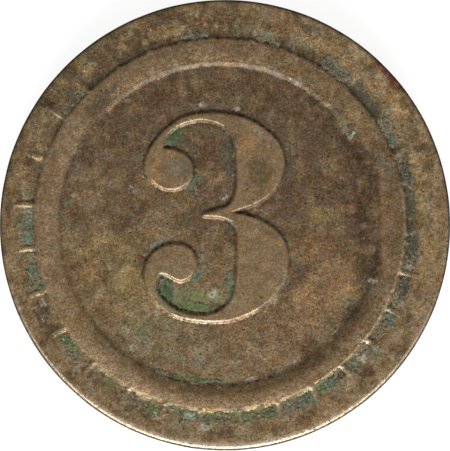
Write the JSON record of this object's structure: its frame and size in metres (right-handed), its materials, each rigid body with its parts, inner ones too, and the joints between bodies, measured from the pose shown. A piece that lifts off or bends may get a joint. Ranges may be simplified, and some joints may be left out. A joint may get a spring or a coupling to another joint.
{
  "type": "transit token",
  "caption": "Round struck brass fare token with a raised ring, a border of radial bars and a large numeral on each face, worn and patinated.",
  "frame": {"origin": "centre of the blank on its lower rim plane, the plane that the token rests on when it lies face up", "axes": "+Z along the blank's axis, out of the front face; +Y towards the top of the front face's numeral"},
  "size_m": [0.023, 0.023, 0.0015],
  "materials": {
    "brass": "old brass with brown patina, worn satin on the high parts",
    "verdigris": "matt, crumbly copper corrosion, dark green to pale blue-green"
  },
  "bodies": {
    "root": {"struck_disc": "brass", "verdigris_in_numeral": "verdigris", "verdigris_at_ring": "verdigris", "verdigris_in_border": "verdigris"}
  },
  "joints": []
}
